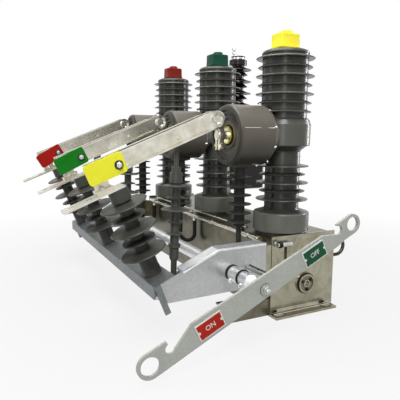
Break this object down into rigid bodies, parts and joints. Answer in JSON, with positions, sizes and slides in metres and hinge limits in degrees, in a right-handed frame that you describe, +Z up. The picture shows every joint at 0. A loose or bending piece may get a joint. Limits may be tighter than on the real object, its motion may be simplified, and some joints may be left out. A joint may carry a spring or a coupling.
{
  "type": "outdoor vacuum circuit breaker",
  "caption": "Three-phase outdoor vacuum circuit breaker with current transformers and a lever-operated disconnector on a steel frame.",
  "frame": {"origin": "underside of the mechanism box, below the middle pole's axis", "axes": "+X along the row of poles towards the handle, +Y away from the line terminals, +Z up"},
  "size_m": [1.044, 0.8046, 0.746],
  "materials": {
    "stainless_sheet": "brushed stainless sheet",
    "galvanised_steel": "hot-dip galvanised",
    "dark_steel": "dark painted steel",
    "grey_epoxy": "cast epoxy resin, satin",
    "transformer_epoxy": "cast epoxy resin, satin",
    "post_epoxy": "cast epoxy resin, satin",
    "rod_epoxy": "cast epoxy resin with metal fittings",
    "riser_rubber": "silicone rubber",
    "brown_glaze": "brown glaze",
    "tinned_copper": "tin-plated",
    "bare_contact": "silver-plated, tarnished",
    "zinc_bolts": "zinc-plated",
    "yellow_cap": "moulded",
    "green_cap": "moulded",
    "red_cap": "moulded",
    "yellow_paint": "gloss paint",
    "green_paint": "gloss paint",
    "red_paint": "gloss paint",
    "handle_steel": "galvanised",
    "on_paint": "enamel plate",
    "off_paint": "enamel plate"
  },
  "bodies": {
    "frame": {"mechanism_box": "stainless_sheet", "end_plates": "stainless_sheet", "front_feet": "dark_steel", "side_brackets": "stainless_sheet", "support_insulators": "grey_epoxy", "interrupter_pole_yellow": "grey_epoxy", "interrupter_pole_green": "grey_epoxy", "interrupter_pole_red": "grey_epoxy", "phase_cap_yellow": "yellow_cap", "phase_cap_green": "green_cap", "phase_cap_red": "red_cap", "top_terminals": "tinned_copper", "current_transformer_yellow": "transformer_epoxy", "current_transformer_green": "transformer_epoxy", "current_transformer_red": "transformer_epoxy", "transformer_terminals": "tinned_copper", "riser_insulators": "riser_rubber", "hoses": "riser_rubber", "conduit": "stainless_sheet", "side_plates": "galvanised_steel", "front_beam": "galvanised_steel", "shaft_bearings": "galvanised_steel", "post_insulators": "post_epoxy", "line_terminals": "tinned_copper", "fixed_contacts": "bare_contact", "crank_socket": "stainless_sheet", "interlock_lever": "zinc_bolts", "lifting_eyes": "dark_steel", "supply_bracket": "stainless_sheet", "supply_transformer": "brown_glaze"},
    "operating_shaft": {"operating_shaft": "galvanised_steel", "shaft_cranks": "galvanised_steel", "operating_handle": "handle_steel", "on_plate": "on_paint", "off_plate": "off_paint"},
    "blade_yellow": {"blade_yellow": "tinned_copper", "phase_tag_yellow": "yellow_paint"},
    "rod_yellow": {"pull_rod_yellow": "rod_epoxy"},
    "blade_green": {"blade_green": "tinned_copper", "phase_tag_green": "green_paint"},
    "rod_green": {"pull_rod_green": "rod_epoxy"},
    "blade_red": {"blade_red": "tinned_copper", "phase_tag_red": "red_paint"},
    "rod_red": {"pull_rod_red": "rod_epoxy"}
  },
  "joints": [
    {"name": "shaft_turn", "type": "hinge", "parent": "frame", "child": "operating_shaft", "pos_m": [0, -0.212, 0.14], "axis": [1, 0, 0], "range_deg": [-50, 0]},
    {"name": "blade_yellow_swing", "type": "hinge", "parent": "frame", "child": "blade_yellow", "pos_m": [0.34, -0.202, 0.472], "axis": [1, 0, 0], "range_deg": [-50, 0]},
    {"name": "rod_yellow_pivot", "type": "hinge", "parent": "operating_shaft", "child": "rod_yellow", "pos_m": [0.34, -0.30263, 0.09774], "axis": [1, 0, 0], "range_deg": [0, 50]},
    {"name": "blade_green_swing", "type": "hinge", "parent": "frame", "child": "blade_green", "pos_m": [0, -0.202, 0.472], "axis": [1, 0, 0], "range_deg": [-50, 0]},
    {"name": "rod_green_pivot", "type": "hinge", "parent": "operating_shaft", "child": "rod_green", "pos_m": [0, -0.30263, 0.09774], "axis": [1, 0, 0], "range_deg": [0, 50]},
    {"name": "blade_red_swing", "type": "hinge", "parent": "frame", "child": "blade_red", "pos_m": [-0.34, -0.202, 0.472], "axis": [1, 0, 0], "range_deg": [-50, 0]},
    {"name": "rod_red_pivot", "type": "hinge", "parent": "operating_shaft", "child": "rod_red", "pos_m": [-0.34, -0.30263, 0.09774], "axis": [1, 0, 0], "range_deg": [0, 50]}
  ],
  "couplings": [
    {"joint": "blade_yellow_swing", "follows": "shaft_turn", "ratio": 1},
    {"joint": "rod_yellow_pivot", "follows": "shaft_turn", "ratio": -1},
    {"joint": "blade_green_swing", "follows": "shaft_turn", "ratio": 1},
    {"joint": "rod_green_pivot", "follows": "shaft_turn", "ratio": -1},
    {"joint": "blade_red_swing", "follows": "shaft_turn", "ratio": 1},
    {"joint": "rod_red_pivot", "follows": "shaft_turn", "ratio": -1}
  ]
}
